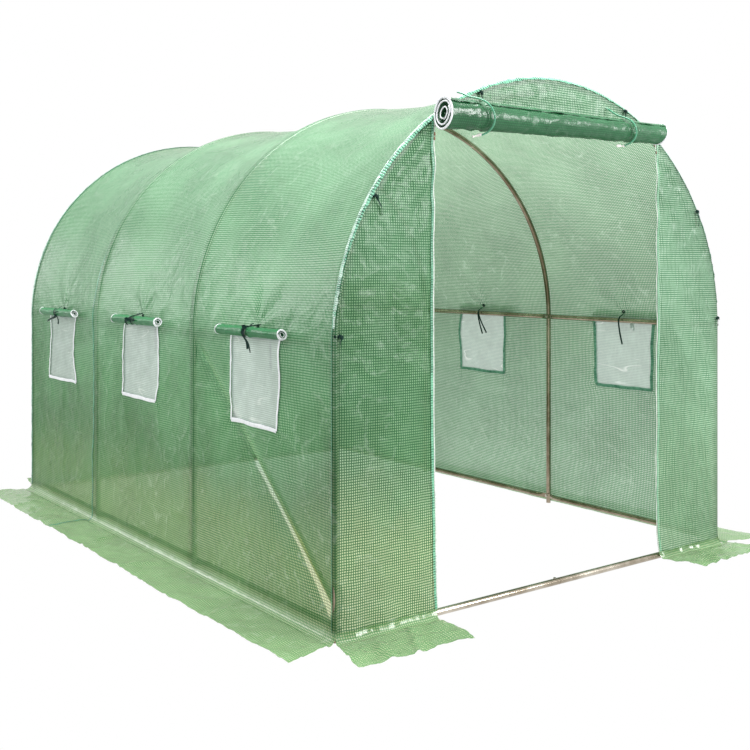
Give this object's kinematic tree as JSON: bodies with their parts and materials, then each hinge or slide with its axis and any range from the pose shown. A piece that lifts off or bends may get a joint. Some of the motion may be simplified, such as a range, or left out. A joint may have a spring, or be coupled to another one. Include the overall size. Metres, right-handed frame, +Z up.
{
  "type": "polytunnel greenhouse",
  "caption": "Walk-in polytunnel: round-topped tube frame under a green woven film cover, with a rolled-up door, net windows with rolled flaps, and ground skirts.",
  "frame": {"origin": "centre of the footprint, skirts included, at ground level", "axes": "+Z up, +Y towards the closed rear end, +X to the right seen from the doorway, which faces -Y"},
  "size_m": [2.4808, 3.4008, 1.92],
  "materials": {
    "galvanised_tube": "galvanised, satin",
    "ground_bar": "galvanised, satin",
    "zinc_bolt": "zinc plated",
    "cover_film": "translucent woven film with a reinforcing grid",
    "skirt_film": "translucent woven film, creased",
    "rolled_film": "glossy woven film in many layers",
    "window_net": "fine white net",
    "white_tape": "white woven tape",
    "tie_ribbon": "dark green ribbon"
  },
  "bodies": {
    "root": {"base_rail_left": "galvanised_tube", "base_rail_right": "galvanised_tube", "corner_brace": "galvanised_tube", "cover_roof": "cover_film", "cover_ties": "tie_ribbon", "cover_wall_left": "cover_film", "cover_wall_right": "cover_film", "door_roll": "rolled_film", "door_tie_hooks": "white_tape", "door_tie_left": "tie_ribbon", "door_tie_right": "tie_ribbon", "door_zip_left": "white_tape", "door_zip_right": "white_tape", "frame_bolts": "zinc_bolt", "front_panel_left": "cover_film", "front_panel_right": "cover_film", "front_panel_top": "cover_film", "hoop_front": "galvanised_tube", "hoop_mid_front": "galvanised_tube", "hoop_mid_rear": "galvanised_tube", "hoop_rear": "galvanised_tube", "rear_base_bar": "ground_bar", "rear_panel": "cover_film", "ridge_rail": "galvanised_tube", "side_rail_left": "galvanised_tube", "side_rail_right": "galvanised_tube", "skirt_front_left": "skirt_film", "skirt_front_right": "skirt_film", "skirt_left": "skirt_film", "skirt_rear": "skirt_film", "skirt_right": "skirt_film", "threshold_bar": "ground_bar", "window_flap_left_front": "rolled_film", "window_flap_left_mid": "rolled_film", "window_flap_left_rear": "rolled_film", "window_flap_right_front": "rolled_film", "window_flap_right_mid": "rolled_film", "window_flap_right_rear": "rolled_film", "window_net_left_front": "window_net", "window_net_left_mid": "window_net", "window_net_left_rear": "window_net", "window_net_right_front": "window_net", "window_net_right_mid": "window_net", "window_net_right_rear": "window_net", "window_ties_left": "tie_ribbon", "window_ties_right": "tie_ribbon"}
  },
  "joints": []
}
